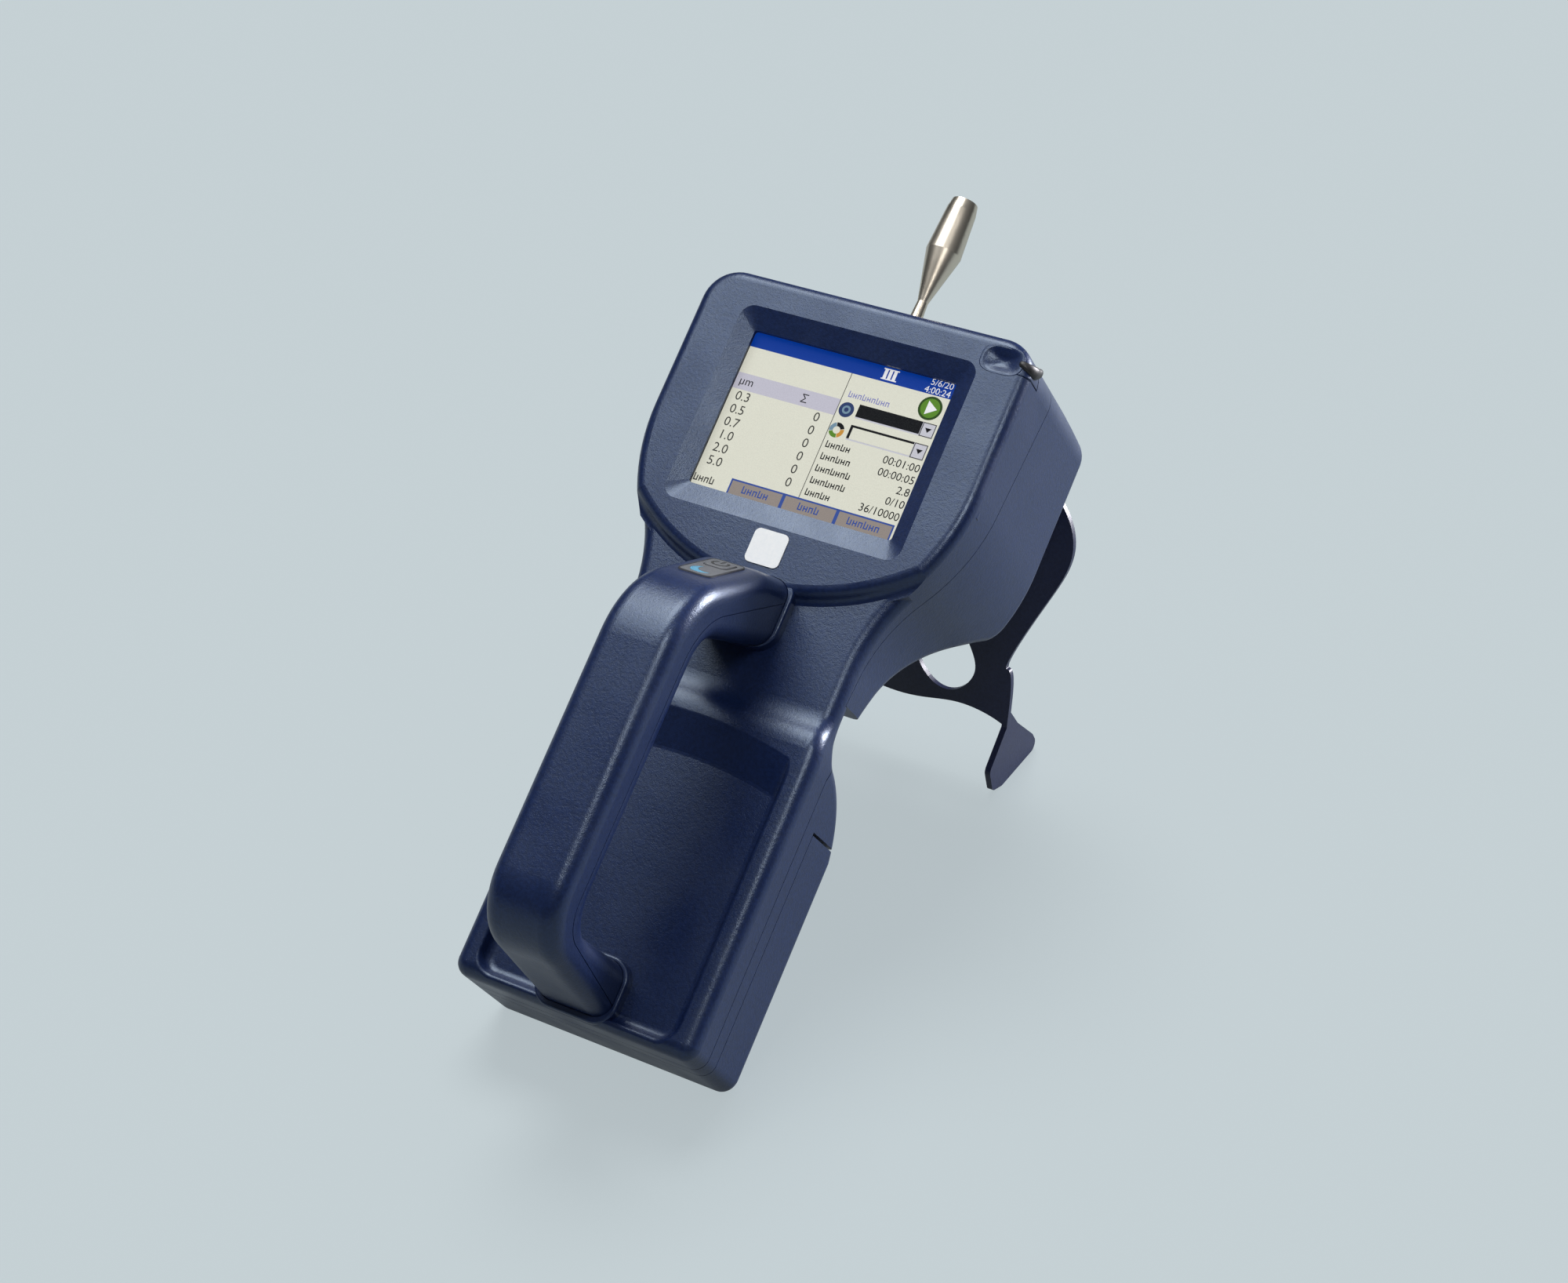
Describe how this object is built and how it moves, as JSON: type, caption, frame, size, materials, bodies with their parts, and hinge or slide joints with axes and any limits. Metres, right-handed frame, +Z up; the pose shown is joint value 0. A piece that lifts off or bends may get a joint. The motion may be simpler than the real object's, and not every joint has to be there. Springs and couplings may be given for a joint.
{
  "type": "airborne particle counter",
  "caption": "Handheld airborne particle counter: a display head over a narrow neck and battery base, with a D-shaped handle, tapered inlet probe and fold-out stand.",
  "frame": {"origin": "centre of the footprint, on the surface that the heel and the stand feet rest on", "axes": "X across the instrument to the right as the user reads the display, Y from the battery heel towards the stand, Z up; the instrument lies back on its stand"},
  "size_m": [0.1246, 0.2872, 0.2057],
  "materials": {
    "navy_plastic": "moulded plastic with a fine grain, satin",
    "dark_stand": "dark blue coated sheet, satin",
    "polished_stainless": "turned and polished",
    "zinc_steel": "bright",
    "grey_panel": "smooth film",
    "cyan_lens": "clear",
    "green_board": "solder mask",
    "black_rubber": "matt",
    "screen_glass": "anti-glare",
    "display_face": "lit display",
    "white_badge": "bare plate",
    "white_nylon": "moulded",
    "bare_aluminium": "machined",
    "brass_barrel": "turned",
    "black_plastic": "satin",
    "motor_can": "drawn can",
    "clear_tube": "soft tube",
    "battery_wrap": "shrink wrap"
  },
  "bodies": {
    "housing": {"front_shell": "navy_plastic", "rear_head_shell": "navy_plastic", "lower_rear_shell": "navy_plastic", "handle_outer_shell": "navy_plastic", "handle_inner_shell": "navy_plastic", "handle_screws": "zinc_steel", "button_panel": "grey_panel", "status_lens": "cyan_lens", "switch_board": "green_board", "display_gasket": "black_rubber", "touch_screen": "screen_glass", "lcd_panel": "display_face", "badge_plate": "white_badge", "main_circuit_board": "green_board", "board_spacers": "white_nylon", "chassis_plate": "bare_aluminium", "shell_screws": "zinc_steel", "optics_block": "bare_aluminium", "laser_module": "brass_barrel", "light_trap": "black_plastic", "detector_board": "green_board", "pump_housing": "black_plastic", "pump_motor": "motor_can", "exhaust_filter": "white_nylon", "sample_tube": "clear_tube", "transfer_tube": "clear_tube", "exhaust_tube": "black_rubber", "inlet_probe": "polished_stainless", "inlet_fitting": "polished_stainless", "inlet_o_ring": "black_rubber", "stand_hinge_pin": "zinc_steel", "battery_pack": "battery_wrap", "battery_contacts": "black_plastic"},
    "stand": {"tilt_stand": "dark_stand"},
    "pen": {"stylus": "black_plastic"},
    "key": {"power_button": "grey_panel"},
    "door": {"battery_door": "navy_plastic"},
    "impeller": {"pump_impeller": "white_nylon", "motor_shaft": "zinc_steel"}
  },
  "joints": [
    {"name": "stand_hinge", "type": "hinge", "parent": "housing", "child": "stand", "pos_m": [-0.00018, 0.11187, 0.1209], "axis": [1, 0, 0], "range_deg": [-42.1, 0]},
    {"name": "stylus_slide", "type": "slide", "parent": "housing", "child": "pen", "axis": [0, 0.7771, 0.6293], "range_m": [0, 0.052]},
    {"name": "button_press", "type": "slide", "parent": "housing", "child": "key", "axis": [0, -0.372, -0.9282], "range_m": [0, 0.0007], "stiffness_N_per_m": 2500},
    {"name": "door_slide", "type": "slide", "parent": "housing", "child": "door", "axis": [0, -0.7771, -0.6293], "range_m": [0, 0.06]},
    {"name": "impeller_spin", "type": "hinge", "parent": "housing", "child": "impeller", "pos_m": [-0.00018, 0.04843, 0.12614], "axis": [1, 0, 0], "continuous": true}
  ]
}
